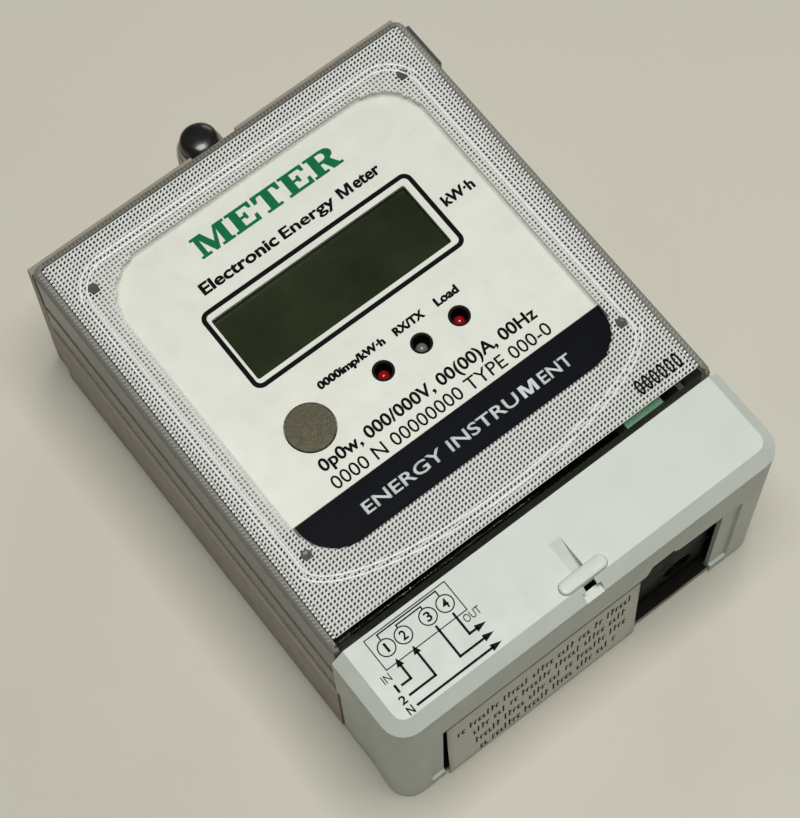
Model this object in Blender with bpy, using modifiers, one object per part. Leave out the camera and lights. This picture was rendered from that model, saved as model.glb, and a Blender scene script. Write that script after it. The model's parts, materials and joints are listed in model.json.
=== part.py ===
"""Single-phase electronic energy meter lying on its back.

X runs along the reading direction of the nameplate, Y towards the sealed top end,
Z out of the face.  The flat back of the base is the plane Z = 0.
Lengths are written in millimetres, and MM turns them into metres.
"""
import math

import bmesh
import bpy
from mathutils import Vector

MM = 0.001
GAP = 0.3
UP = Vector((0.0, 0.0, 1.0))
DOWN = Vector((0.0, 0.0, -1.0))
REAR = Vector((0.0, 1.0, 0.0))

# Overall case
CASE_HALF_W = 56.0
CASE_DEPTH = 65.0
FRONT_Y = -72.9
SPLIT_Y = -48.2
HOOD_REAR_Y = -48.7

# Base tray
BASE_HALF_W = 55.6
BASE_END_Y = 72.6
BASE_WALL = 2.2
FLANGE_LOW_Z = 30.4
FLANGE_TOP_Z = 32.5
INNER_WALL_TOP_Z = 46.5
INNER_WALL_OUTER = (52.9, -45.0, 68.8)
INNER_WALL_INNER = (51.3, -43.6, 67.2)
END_WALL_TOP_Z = 60.2

# Transparent cover
COVER_HALF_W = 55.0
COVER_REAR_Y = 70.9
COVER_LOW_Z = 34.0
COVER_STEP_Z = 46.4
COVER_WALL = 1.6

# Nameplate and what shows through it
PLATE_LOW_Z = 61.6
PLATE_TOP_Z = 62.6
FRAME_LOW_Z = 52.6
FRAME_TOP_Z = 61.2
PLATE_SCREWS = ((-45.7, -26.0), (45.7, -26.0), (-45.7, 57.2), (45.7, 57.2))
GLASS_X = (-29.6, 29.6)
GLASS_Y = (15.0, 35.4)
LED_X = (-4.4, 6.8, 18.0)
LED_Y = -0.5
PROBE_SPOT = (-26.2, -1.3)
PROBE_R = 6.0

# Board
BOARD_LOW_Z = 50.6
BOARD_TOP_Z = 52.2
UNDER_BOARD_Z = BOARD_LOW_Z - GAP
BOARD_POSTS = ((-46.4, -36.0), (46.4, -36.0), (-43.0, 60.0), (43.0, 60.0))

# Terminals
TERMINAL_X = (-32.0, -12.0, 12.0, 32.0)
TERMINAL_SCREW_Y = (-62.0, -51.5)
WIRE_Z = 12.0
WIRE_R = 3.8
BLOCK_HALF_W = 41.8
BLOCK_FRONT_Y = -69.2
BLOCK_REAR_Y = -24.0
BLOCK_LOW_Z = 3.3
BLOCK_TOP_Z = 32.4

# Fixings
EAR_X = 47.0
EAR_Y = -52.0
SEAL_SCREW_Y = 80.4
WALL_HOLES = ((-48.0, -64.0), (48.0, -64.0))
SWITCH_SPOT = (22.0, -62.5)


for old in list(bpy.data.objects):
    bpy.data.objects.remove(old, do_unlink=True)

scene = bpy.context.scene
PARTS = bpy.data.collections.new("smart_electric_meter")
TOOLS = bpy.data.collections.new("cutters")
scene.collection.children.link(PARTS)
scene.collection.children.link(TOOLS)


# --- Materials -------------------------------------------------------------------
def make_material(name, colour, roughness, metallic=0.0, transmission=0.0):
    """Return a Principled material with plain values."""
    material = bpy.data.materials.new(name)
    material.use_nodes = True
    shader = material.node_tree.nodes["Principled BSDF"]
    shader.inputs["Base Color"].default_value = (*colour, 1.0)
    shader.inputs["Roughness"].default_value = roughness
    shader.inputs["Metallic"].default_value = metallic
    shader.inputs["Transmission Weight"].default_value = transmission
    material.diffuse_color = (*colour, 1.0)
    return material


TAUPE = make_material("taupe_plastic", (0.22, 0.19, 0.14), 0.5)
CLEAR = make_material("clear_plastic", (0.85, 0.88, 0.87), 0.12, 0.0, 0.9)
PALE = make_material("pale_plastic", (0.60, 0.65, 0.60), 0.45)
PLATE_WHITE = make_material("white_plate", (0.80, 0.81, 0.75), 0.4)
WHITE = make_material("white_plastic", (0.72, 0.73, 0.69), 0.5)
BLACK = make_material("black_plastic", (0.02, 0.02, 0.02), 0.45)
RUBBER = make_material("black_rubber", (0.015, 0.015, 0.015), 0.7)
BRASS = make_material("brass", (0.62, 0.45, 0.18), 0.35, 1.0)
COPPER = make_material("copper", (0.72, 0.38, 0.22), 0.35, 1.0)
STEEL = make_material("zinc_steel", (0.50, 0.50, 0.48), 0.38, 1.0)
PROBE_STEEL = make_material("probe_steel", (0.22, 0.20, 0.16), 0.55, 0.6)
GLASS = make_material("display_glass", (0.045, 0.055, 0.035), 0.18)
RED_LENS = make_material("red_lens", (0.25, 0.01, 0.01), 0.2)
GREY_LENS = make_material("grey_lens", (0.16, 0.15, 0.15), 0.2)
BOARD = make_material("circuit_board", (0.02, 0.16, 0.07), 0.4)
GREEN = make_material("green_plastic", (0.03, 0.36, 0.12), 0.4)
RESIN = make_material("chip_resin", (0.02, 0.02, 0.025), 0.5)
BLUE = make_material("blue_resin", (0.03, 0.09, 0.30), 0.4)
PAPER = make_material("card_paper", (0.45, 0.44, 0.41), 0.85)


# --- Edge choosers for rounding a box whose centre is the local origin --------------
def upright(edge):
    """Edge along Z."""
    first, second = edge.verts
    return abs(first.co.z - second.co.z) > 0.01 * MM


def front_upright(edge):
    return upright(edge) and edge.verts[0].co.y < 0.0


def rear_upright(edge):
    return upright(edge) and edge.verts[0].co.y > 0.0


def top_rim(edge):
    return not upright(edge) and edge.verts[0].co.z > 0.0


def bottom_rim(edge):
    return not upright(edge) and edge.verts[0].co.z < 0.0


def top_rim_but_rear(edge):
    return top_rim(edge) and min(vert.co.y for vert in edge.verts) < 0.0


# --- Shapes --------------------------------------------------------------------------
def add_part(name, mesh, material, place, turn=(0.0, 0.0, 0.0)):
    """Link a mesh as a named part at a place in millimetres."""
    mesh.materials.clear()
    mesh.materials.append(material)
    mesh.shade_smooth()
    mesh.set_sharp_from_angle(angle=math.radians(35.0))
    part = bpy.data.objects.new(name, mesh)
    part.location = Vector(place) * MM
    part.rotation_euler = turn
    PARTS.objects.link(part)
    return part


def block(name, x_range, y_range, z_range, material, rounds=(), open_sides=(), wall=0.0, origin=None):
    """Box from a cube; rounds holds (edge chooser, width, segments), and wall makes a shell."""
    low = Vector((x_range[0], y_range[0], z_range[0]))
    high = Vector((x_range[1], y_range[1], z_range[1]))
    centre = (low + high) / 2.0
    place = Vector(origin) if origin else centre
    work = bmesh.new()
    bmesh.ops.create_cube(work, size=1.0)
    bmesh.ops.scale(work, vec=(high - low) * MM, verts=work.verts)
    for chooser, width, segments in rounds:
        edges = [edge for edge in work.edges if chooser(edge)]
        bmesh.ops.bevel(
            work, geom=edges, offset=width * MM, segments=segments, profile=0.5, affect="EDGES"
        )
    work.normal_update()
    for side in open_sides:
        faces = [face for face in work.faces if face.normal.dot(side) > 0.999]
        bmesh.ops.delete(work, geom=faces, context="FACES")
    bmesh.ops.translate(work, vec=(centre - place) * MM, verts=work.verts)
    mesh = bpy.data.meshes.new(name)
    work.to_mesh(mesh)
    work.free()
    part = add_part(name, mesh, material, place)
    if wall:
        shell = part.modifiers.new("wall", "SOLIDIFY")
        shell.thickness = wall * MM
        shell.offset = -1.0
        shell.use_even_offset = True
    return part


def placed_along(axis, centre, height):
    """Place and turn of a piece whose local Z lies along the named axis."""
    first, second = centre
    if axis == "X":
        return (height, first, second), (0.0, math.radians(90.0), 0.0)
    if axis == "Y":
        return (first, height, second), (math.radians(-90.0), 0.0, 0.0)
    return (first, second, height), (0.0, 0.0, 0.0)


def cylinder(name, centre, radius, low, high, material, segments=16, axis="Z"):
    """Cylinder between two heights along an axis."""
    work = bmesh.new()
    bmesh.ops.create_cone(
        work, cap_ends=True, segments=segments, radius1=radius * MM, radius2=radius * MM,
        depth=(high - low) * MM,
    )
    mesh = bpy.data.meshes.new(name)
    work.to_mesh(mesh)
    work.free()
    place, turn = placed_along(axis, centre, (low + high) / 2.0)
    return add_part(name, mesh, material, place, turn)


def turned(name, profile, centre, material, steps=16, axis="Z", ring=False, origin_height=0.0):
    """Turn a profile of (radius, height) pairs, listed down its outer side."""
    points = list(profile)
    if not ring:
        points = [(0.0, profile[0][1])] + points + [(0.0, profile[-1][1])]
    verts = [(radius * MM, 0.0, (height - origin_height) * MM) for radius, height in points]
    edges = [(index, index + 1) for index in range(len(verts) - 1)]
    if ring:
        edges.append((len(verts) - 1, 0))
    mesh = bpy.data.meshes.new(name)
    mesh.from_pydata(verts, edges, [])
    place, turn = placed_along(axis, centre, origin_height)
    part = add_part(name, mesh, material, place, turn)
    spin = part.modifiers.new("turn", "SCREW")
    spin.steps = steps
    spin.render_steps = steps
    spin.use_merge_vertices = True
    spin.merge_threshold = 0.005 * MM
    return part


def arc(centre, radius, start, sweep, steps):
    """Points on an arc; angles in degrees."""
    points = []
    for step in range(steps + 1):
        angle = math.radians(start + sweep * step / steps)
        points.append((centre[0] + radius * math.cos(angle), centre[1] + radius * math.sin(angle)))
    return points


def circle(centre, radius, steps):
    return arc(centre, radius, 0.0, 360.0, steps)[:-1]


def rounded_outline(half_w, low, high, rear_r, front_r, steps=3):
    """Rounded rectangle, symmetric about X = 0."""
    return (
        arc((half_w - rear_r, high - rear_r), rear_r, 0.0, 90.0, steps)
        + arc((rear_r - half_w, high - rear_r), rear_r, 90.0, 90.0, steps)
        + arc((front_r - half_w, low + front_r), front_r, 180.0, 90.0, steps)
        + arc((half_w - front_r, low + front_r), front_r, 270.0, 90.0, steps)
    )


def mirrored(outline):
    """The outline on the other side of X = 0."""
    return [(-first, second) for first, second in reversed(outline)]


def sketched(name, outlines, axis, low, high, material):
    """Extrude flat outlines along an axis; an outline inside another leaves a hole."""
    curve = bpy.data.curves.new(name, "CURVE")
    curve.dimensions = "2D"
    curve.fill_mode = "BOTH"
    curve.extrude = (high - low) / 2.0 * MM
    for outline in outlines:
        spline = curve.splines.new("POLY")
        spline.points.add(len(outline) - 1)
        spline.use_cyclic_u = True
        for spot, (first, second) in zip(spline.points, outline):
            spot.co = (first * MM, second * MM, 0.0, 1.0)
    sketch = bpy.data.objects.new(name + "_sketch", curve)
    scene.collection.objects.link(sketch)
    graph = bpy.context.evaluated_depsgraph_get()
    mesh = bpy.data.meshes.new_from_object(sketch.evaluated_get(graph))
    bpy.data.objects.remove(sketch)
    bpy.data.curves.remove(curve)
    mesh.name = name
    work = bmesh.new()
    work.from_mesh(mesh)
    bmesh.ops.remove_doubles(work, verts=work.verts, dist=0.005 * MM)
    bmesh.ops.recalc_face_normals(work, faces=work.faces)
    work.to_mesh(mesh)
    work.free()
    middle = (low + high) / 2.0
    if axis == "X":
        return add_part(name, mesh, material, (middle, 0.0, 0.0), (math.radians(90.0), 0.0, math.radians(90.0)))
    if axis == "Y":
        return add_part(name, mesh, material, (0.0, middle, 0.0), (math.radians(90.0), 0.0, 0.0))
    return add_part(name, mesh, material, (0.0, 0.0, middle))


def combine(target, tool, operation):
    """Apply tool to target as a live Boolean and put it with the cutters."""
    change = target.modifiers.new(operation.lower() + "_" + tool.name, "BOOLEAN")
    change.operation = operation
    change.solver = "EXACT"
    change.object = tool
    PARTS.objects.unlink(tool)
    TOOLS.objects.link(tool)
    tool.hide_render = True
    tool.display_type = "WIRE"


def cut(target, tool):
    """Remove tool from target."""
    combine(target, tool, "DIFFERENCE")


def join(target, tool):
    """Add tool to target."""
    combine(target, tool, "UNION")


def slotted_screw(name, spot, head_r, head_z, shank_r, tip_z, slot_w):
    """Cheese-head screw with its origin on its own axis under the head."""
    low, high = head_z
    edge = 0.4
    profile = (
        (head_r - edge, high), (head_r, high - edge), (head_r, low), (shank_r, low),
        (shank_r, tip_z + 0.6), (shank_r * 0.6, tip_z),
    )
    screw = turned(name, profile, spot, STEEL, 14, "Z", False, low)
    slot_y = (spot[1] - slot_w / 2.0, spot[1] + slot_w / 2.0)
    slot_x = (spot[0] - head_r - 1.0, spot[0] + head_r + 1.0)
    cut(screw, block(name + "_slot", slot_x, slot_y, (high - 0.9, high + 1.0), STEEL))


# --- Base ------------------------------------------------------------------------------
def build_base():
    """Tray with flange, inner wall, end wall, terminal tray, posts and seal lug."""
    below = -2.0
    base = block(
        "base", (-BASE_HALF_W, BASE_HALF_W), (SPLIT_Y + 0.4, BASE_END_Y), (-0.6, FLANGE_LOW_Z + 0.6),
        TAUPE, ((rear_upright, 4.0, 3), (bottom_rim, 2.2, 1)), (UP,), BASE_WALL,
    )
    inner_half, inner_front, inner_rear = INNER_WALL_INNER
    outer_half, outer_front, outer_rear = INNER_WALL_OUTER
    flange = (
        rounded_outline(CASE_HALF_W, SPLIT_Y, BASE_END_Y + 0.4, 4.0, 0.8),
        rounded_outline(inner_half + 0.8, inner_front - 0.7, inner_rear + 0.8, 1.5, 1.0),
    )
    join(base, sketched("base_flange", flange, "Z", FLANGE_LOW_Z, FLANGE_TOP_Z, TAUPE))
    inner_wall = (
        rounded_outline(outer_half, outer_front, outer_rear, 2.0, 0.8),
        rounded_outline(inner_half, inner_front, inner_rear, 1.0, 0.5),
    )
    join(base, sketched("base_inner_wall", inner_wall, "Z", 28.0, INNER_WALL_TOP_Z, TAUPE))

    end_wall = (
        (71.6, 28.0), (71.6, END_WALL_TOP_Z - 0.7), (72.4, END_WALL_TOP_Z), (73.4, END_WALL_TOP_Z - 0.4),
        (76.6, 1.2), (74.0, below), (71.2, below), (71.2, 28.0),
    )
    join(base, sketched("base_end_wall", (end_wall,), "X", -54.6, 54.6, TAUPE))

    trough = (
        (-53.6, below), (-53.6, 27.0), (-51.9, 27.0), (-51.9, 3.0),
        (51.9, 3.0), (51.9, 27.0), (53.6, 27.0), (53.6, below),
    )
    join(base, sketched("base_terminal_tray", (trough,), "Y", -66.6, -45.5, TAUPE))
    join(base, block("base_front_floor", (-49.4, 49.4), (-70.5, -66.0), (below, 2.9), TAUPE))
    join(base, block("base_front_lip", (-42.7, 40.0), (-72.3, -69.4), (below, 2.9), TAUPE))
    for tag, side in (("left", -1.0), ("right", 1.0)):
        spot = (side * EAR_X, EAR_Y)
        join(base, cylinder("base_pillar_" + tag, spot, 4.35, 2.0, COVER_LOW_Z - GAP, TAUPE))
        cut(base, cylinder("base_pillar_hole_" + tag, spot, 1.9, 22.0, 40.0, TAUPE, 12))
    for index, spot in enumerate(BOARD_POSTS):
        join(base, cylinder("base_post_%d" % index, spot, 3.0, 0.8, UNDER_BOARD_Z, TAUPE, 12))
    join(base, block("base_hanger_pad", (-16.0, 16.0), (40.0, 71.5), (1.0, 5.2), TAUPE))

    lug = rounded_outline(6.0, 71.3, 86.6, 5.6, 0.4, 4)
    join(base, sketched("base_lug", (lug,), "Z", below, 50.0, TAUPE))
    cut(base, block("base_back_plane", (-80.0, 80.0), (-100.0, 120.0), (-9.0, 0.0), TAUPE))
    cut(base, cylinder("base_lug_hole", (0.0, SEAL_SCREW_Y), 1.9, 26.0, 60.0, TAUPE, 12))
    cut(base, block("base_tab_notch", (-6.6, 6.6), (69.0, 90.0), (45.2, 70.0), TAUPE))
    cut(base, block("base_block_notch", (-42.2, 42.2), (-49.2, -43.0), (2.75, 60.0), TAUPE))
    cut(base, block("base_hanger_slot", (-12.3, 12.3), (44.0, 95.0), (0.9, 2.8), TAUPE))
    cut(base, block("base_hanger_mouth", (-10.0, 10.0), (44.5, 96.0), (below, 1.2), TAUPE))
    for index, spot in enumerate(WALL_HOLES):
        join(base, cylinder("base_wall_boss_%d" % index, spot, 3.6, 2.0, 3.8, TAUPE))
        cut(base, cylinder("base_wall_hole_%d" % index, spot, 2.2, below, 6.0, TAUPE, 14))


# --- Gasket and transparent cover ---------------------------------------------------------
def build_gasket():
    """Closed seal ring between the base flange and the cover edge."""
    ring = (
        rounded_outline(54.8, SPLIT_Y + 0.8, 70.4, 2.2, 0.9),
        rounded_outline(53.5, SPLIT_Y + 1.6, 69.4, 1.4, 0.6),
    )
    sketched("cover_gasket", ring, "Z", FLANGE_TOP_Z + GAP, COVER_LOW_Z - GAP, RUBBER)


def build_cover():
    """Deep transparent cap with a stepped skirt, two front ears and a seal tab."""
    half = COVER_HALF_W
    cover = block(
        "clear_cover", (-half, half), (SPLIT_Y, COVER_REAR_Y), (COVER_LOW_Z + 0.3, CASE_DEPTH),
        CLEAR, ((rear_upright, 2.6, 3), (front_upright, 1.8, 2), (top_rim, 2.0, 3)), (DOWN,), COVER_WALL,
    )
    skirt = (
        rounded_outline(half + 0.3, SPLIT_Y - 0.2, COVER_REAR_Y + 0.2, 2.8, 2.0),
        rounded_outline(half - 0.8, SPLIT_Y + 0.8, COVER_REAR_Y - 0.8, 2.0, 1.2),
    )
    join(cover, sketched("cover_skirt", skirt, "Z", COVER_LOW_Z, COVER_STEP_Z, CLEAR))
    for tag, side in (("left", -1.0), ("right", 1.0)):
        span = sorted((side * 42.6, side * 51.4))
        join(cover, block("cover_ear_" + tag, span, (-56.4, SPLIT_Y + 0.4), (34.2, 36.1), CLEAR))
        cut(cover, cylinder("cover_ear_hole_" + tag, (side * EAR_X, EAR_Y), 1.9, 30.0, 40.0, CLEAR, 12))
    tab = rounded_outline(5.7, 69.8, 85.6, 5.2, 0.4, 4)
    join(cover, sketched("cover_tab", (tab,), "Z", 45.5, 47.5, CLEAR))
    cut(cover, cylinder("cover_tab_hole", (0.0, SEAL_SCREW_Y), 1.9, 40.0, 50.0, CLEAR, 12))
    join(cover, block("cover_side_tab", (54.0, 56.2), (55.0, 68.2), (57.0, 62.4), CLEAR))


# --- Nameplate, display and indicators ------------------------------------------------------
def build_nameplate():
    """White plate with a display window, indicator holes and screw holes."""
    window_x = 28.5
    outlines = [
        rounded_outline(52.2, -44.2, 67.6, 3.0, 3.0),
        rounded_outline(window_x, 15.6, 34.5, 0.4, 0.4, 1),
        circle(PROBE_SPOT, PROBE_R + GAP, 28),
    ]
    outlines += [circle((led_x, LED_Y), 2.75, 20) for led_x in LED_X]
    outlines += [circle(spot, 2.25, 12) for spot in PLATE_SCREWS]
    sketched("nameplate", outlines, "Z", PLATE_LOW_Z, PLATE_TOP_Z, PLATE_WHITE)
    for index, spot in enumerate(PLATE_SCREWS):
        profile = ((1.95, PLATE_TOP_Z + 0.1), (1.0, 61.5), (1.0, 57.2), (0.6, 56.5))
        turned("nameplate_screw_%d" % (index + 1), profile, spot, STEEL, 12)
    disc = ((PROBE_R - 0.3, 62.8), (PROBE_R, 62.5), (PROBE_R, 60.9))
    turned("optical_probe_disc", disc, PROBE_SPOT, PROBE_STEEL, 32)


def build_panel_frame():
    """White moulding that carries the nameplate above the board."""
    outlines = (
        rounded_outline(50.6, -35.0, 67.0, 1.5, 1.5),
        rounded_outline(48.9, -33.4, 65.4, 1.0, 1.0),
    )
    frame = sketched("panel_frame", outlines, "Z", FRAME_LOW_Z, FRAME_TOP_Z, WHITE)
    for index, (px, py) in enumerate(PLATE_SCREWS):
        span = sorted((px - math.copysign(3.2, px), math.copysign(49.8, px)))
        boss_z = (FRAME_LOW_Z + 0.3, FRAME_TOP_Z - 0.1)
        join(frame, block("frame_boss_%d" % index, span, (py - 3.2, py + 3.2), boss_z, WHITE))
        cut(frame, cylinder("frame_hole_%d" % index, (px, py), 1.3, 55.0, 64.0, WHITE, 10))
    join(frame, block("frame_shelf", (-49.8, -18.0), (-8.6, 6.2), (58.6, 60.6), WHITE))


def build_display():
    """Display holder, backlight and glass."""
    outlines = (
        rounded_outline(31.4, 12.4, 37.2, 1.2, 1.2, 1),
        rounded_outline(29.9, 14.7, 35.7, 0.6, 0.6, 1),
    )
    sketched("display_holder", outlines, "Z", BOARD_TOP_Z + GAP, FRAME_TOP_Z, WHITE)
    block("display_backlight", GLASS_X, GLASS_Y, (FRAME_LOW_Z, 57.2), WHITE)
    block("display_glass", GLASS_X, GLASS_Y, (57.6, 60.6), GLASS, ((upright, 0.3, 1),))


def build_indicators():
    """Three lens-topped indicators that stand on the board."""
    profile = ((0.5, 61.4), (1.4, 61.1), (2.1, 60.4), (2.4, 59.4), (2.4, BOARD_TOP_Z + GAP))
    names = ("pulse_indicator", "optical_port_indicator", "load_indicator")
    for name, led_x, lens in zip(names, LED_X, (RED_LENS, GREY_LENS, RED_LENS)):
        turned(name, profile, (led_x, LED_Y), lens, 16)


# --- Board and the parts on it ----------------------------------------------------------------
def build_board():
    """Main circuit board with the output terminal and the parts under it."""
    block("main_board", (-48.2, 48.2), (-40.6, 64.6), (BOARD_LOW_Z, BOARD_TOP_Z), BOARD)
    green = block("pulse_output_terminal", (31.2, 42.0), (-46.3, -37.4), (52.5, FRAME_TOP_Z), GREEN)
    for step in range(2):
        well_x = 33.9 + 5.4 * step
        cut(green, cylinder("pulse_well_%d" % step, (well_x, -41.8), 1.6, 57.5, 63.0, GREEN, 10))
        mouth_x = (well_x - 1.6, well_x + 1.6)
        cut(green, block("pulse_mouth_%d" % step, mouth_x, (-47.4, -43.9), (53.6, 56.4), GREEN))
    chip_z = (48.4, UNDER_BOARD_Z)
    block("metering_chip", (-22.0, -12.0), (-28.0, -18.0), chip_z, RESIN)
    block("processor_chip", (2.0, 16.0), (20.0, 34.0), chip_z, RESIN)
    can = ((6.0, UNDER_BOARD_Z), (6.3, 49.6), (6.3, 30.8), (6.0, 30.2))
    turned("reservoir_capacitor", can, (30.0, 46.0), RESIN, 20)
    cell = ((9.6, UNDER_BOARD_Z), (10.0, 49.9), (10.0, 45.0), (9.6, 44.6))
    turned("clock_battery", cell, (28.0, 8.0), STEEL, 24)
    disc = ((6.4, -20.0), (7.0, -20.6), (7.0, -24.0), (6.4, -24.6))
    turned("surge_varistor", disc, (30.0, 42.6), BLUE, 18, "Y")
    core = block("supply_transformer", (-40.0, -12.0), (34.0, 58.0), (26.0, 44.0), STEEL)
    join(core, block("transformer_coil", (-36.0, -16.0), (29.5, 62.5), (28.5, UNDER_BOARD_Z), RESIN))
    block("film_capacitor", (-44.0, -26.0), (10.0, 20.0), (36.0, UNDER_BOARD_Z), GREY_LENS)


# --- Current path -------------------------------------------------------------------------------
def build_current_path(tag, reach_x, run_y):
    """Copper strap from a supply terminal to its load terminal, through a ring sensor."""
    half = 3.0
    start_y = -35.5
    strap = (
        (-reach_x - half, start_y), (-reach_x + half, start_y), (-reach_x + half, run_y - half),
        (reach_x - half, run_y - half), (reach_x - half, start_y), (reach_x + half, start_y),
        (reach_x + half, run_y + half), (-reach_x - half, run_y + half),
    )
    sketched("current_link_" + tag, (strap,), "Z", WIRE_Z - 0.6, WIRE_Z + 1.4, COPPER)
    ring = ((9.3, 5.0), (9.3, -5.0), (4.6, -5.0), (4.6, 5.0))
    turned("current_transformer_" + tag, ring, (run_y, WIRE_Z + 0.4), BLUE, 20, "X", True)


# --- Terminal block -------------------------------------------------------------------------------
def build_terminals():
    """Black block with four brass terminals and two clamp screws each."""
    housing = block(
        "terminal_block", (-BLOCK_HALF_W, BLOCK_HALF_W), (BLOCK_FRONT_Y, BLOCK_REAR_Y),
        (BLOCK_LOW_Z, BLOCK_TOP_Z), BLACK, ((front_upright, 1.5, 2), (top_rim, 0.6, 1)),
    )
    for number, tx in enumerate(TERMINAL_X):
        tag = str(number + 1)
        pocket_x = (tx - 5.5, tx + 5.5)
        cut(housing, block("block_pocket_" + tag, pocket_x, (-66.4, -20.0), (6.2, 19.8), BLACK))
        cut(housing, cylinder("block_entry_" + tag, (tx, WIRE_Z), 4.4, -75.0, -60.0, BLACK, 18, "Y"))
        clamp = block("terminal_" + tag, (tx - 5.2, tx + 5.2), (-66.0, -36.0), (6.5, 19.5), BRASS)
        cut(clamp, cylinder("terminal_bore_" + tag, (tx, WIRE_Z), WIRE_R, -70.0, -41.0, BRASS, 16, "Y"))
        for place, sy in enumerate(TERMINAL_SCREW_Y):
            key = "%s_%d" % (tag, place + 1)
            cut(housing, cylinder("block_well_" + key, (tx, sy), 4.2, 18.0, 40.0, BLACK, 16))
            cut(clamp, cylinder("terminal_thread_" + key, (tx, sy), 2.2, 13.0, 24.0, BRASS, 10))
            slotted_screw("terminal_screw_" + key, (tx, sy), 3.4, (19.8, 23.6), 1.9, 15.2, 1.0)


# --- Switch, seal tongue and cover screws ------------------------------------------------------------
def build_fittings():
    """Cover switch with its plunger, the seal tongue and the two cover screws."""
    body = block("cover_switch", (17.8, 26.2), (-68.0, -57.0), (32.8, 43.0), BLACK)
    cut(body, cylinder("switch_bore", SWITCH_SPOT, 1.9, 37.0, 50.0, BLACK, 12))
    plunger = ((1.1, 49.2), (1.55, 48.6), (1.55, 40.2))
    turned("switch_plunger", plunger, SWITCH_SPOT, PALE, 14, "Z", False, 40.2)
    outline = (
        (-68.0, 32.8), (-58.0, 32.8), (-58.0, 34.6), (-66.8, 34.6), (-66.8, 63.3), (-68.0, 63.3),
    )
    tongue = sketched("seal_tongue", (outline,), "X", -1.25, 1.25, PALE)
    cut(tongue, cylinder("tongue_eye", (0.0, 62.2), 0.55, -72.0, -62.0, PALE, 8, "Y"))
    for tag, side in (("left", -1.0), ("right", 1.0)):
        slotted_screw("cover_screw_" + tag, (side * EAR_X, EAR_Y), 3.2, (36.4, 38.8), 1.5, 24.0, 0.9)


# --- Terminal cover -------------------------------------------------------------------------------------
def build_terminal_cover():
    """Pale hood over the terminals with the wire opening and the sealing bridge."""
    hood = block(
        "terminal_cover", (-CASE_HALF_W, CASE_HALF_W), (FRONT_Y, HOOD_REAR_Y), (0.5, CASE_DEPTH), PALE,
        ((front_upright, 6.0, 5), (top_rim_but_rear, 3.2, 1)), (DOWN, REAR), 2.0, (0.0, -60.0, 0.5),
    )
    opening = (
        (-43.2, -3.0), (-43.2, 43.2), (15.8, 43.2), (16.4, 44.8), (17.6, 49.0), (24.3, 49.3),
        (24.5, 47.4), (25.3, 47.3), (25.6, 46.4), (40.5, 45.2), (40.5, -3.0),
    )
    cut(hood, sketched("hood_opening", (opening,), "Y", -80.0, -67.0, PALE))
    cut(hood, block("hood_panel", (-47.1, 45.6), (-80.0, FRONT_Y + 0.8), (4.2, 44.2), PALE))
    grip = ((60.0, -40.0), (55.4, -40.0), (55.4, -61.0), (56.1, -68.0), (60.0, -68.0))
    cut(hood, sketched("hood_grip_right", (grip,), "Z", -3.0, 38.0, PALE))
    cut(hood, sketched("hood_grip_left", (mirrored(grip),), "Z", -3.0, 38.0, PALE))
    join(hood, block("hood_channel_floor", (-3.4, 3.4), (-66.0, -56.4), (59.4, 63.6), PALE))
    channel = ((-57.6, 68.0), (-57.6, 64.9), (-66.0, 61.4), (-76.0, 61.4), (-76.0, 68.0))
    cut(hood, sketched("hood_channel", (channel,), "X", -1.6, 1.6, PALE))
    notch = ((-69.0, 63.6), (-80.0, 63.6), (-80.0, 61.4), (-69.0, 61.4))
    cut(hood, sketched("hood_notch", (notch,), "X", -2.6, 2.6, PALE))
    bridge = block(
        "hood_bridge", (-6.7, 6.7), (-69.7, -65.9), (63.7, 66.2), PALE,
        ((upright, 1.8, 4), (top_rim, 1.0, 2)),
    )
    join(hood, bridge)
    join(hood, cylinder("hood_pin", SWITCH_SPOT, 1.5, 49.7, 63.9, PALE, 12))


# --- Seal screw, hanger and card -----------------------------------------------------------------------
def build_seal_screw():
    """Black capped screw that holds the cover's tab to the base lug."""
    profile = (
        (2.6, 52.5), (4.2, 51.8), (5.0, 50.4), (5.0, 48.6), (4.6, 47.8), (1.45, 47.8),
        (1.45, 31.8), (0.8, 31.0),
    )
    screw = turned("cover_seal_screw", profile, (0.0, SEAL_SCREW_Y), RUBBER, 18, "Z", False, 47.8)
    slot_y = (SEAL_SCREW_Y - 0.6, SEAL_SCREW_Y + 0.6)
    cut(screw, block("seal_slot", (-7.0, 7.0), slot_y, (51.6, 55.0), RUBBER))


def build_hanger():
    """Steel hanging plate that slides out past the top end in the back of the base."""
    plate = block(
        "hanger_plate", (-11.9, 11.9), (46.0, 75.6), (1.3, 2.5), STEEL, (), (), 0.0, (0.0, 46.0, 1.9)
    )
    cut(plate, cylinder("hanger_eye", (0.0, 69.4), 3.2, -1.0, 6.0, STEEL, 16))
    cut(plate, block("hanger_slot", (-1.7, 1.7), (69.0, 74.2), (-1.0, 5.0), STEEL))


def build_card():
    """Printed card that leans in the wire opening."""
    outline = ((-73.5, 1.0), (-73.15, 1.0), (-71.75, 38.8), (-72.1, 38.8))
    sketched("wiring_card", (outline,), "X", -42.0, 15.5, PAPER)


build_base()
build_gasket()
build_cover()
build_nameplate()
build_panel_frame()
build_display()
build_indicators()
build_board()
build_current_path("outer", 32.0, 8.0)
build_current_path("inner", 12.0, -12.0)
build_terminals()
build_fittings()
build_terminal_cover()
build_seal_screw()
build_hanger()
build_card()
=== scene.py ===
"""Looks of the smart electric meter: finishes, moulded detail, print, light and camera on the CAD frame."""

import json
import math

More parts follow.
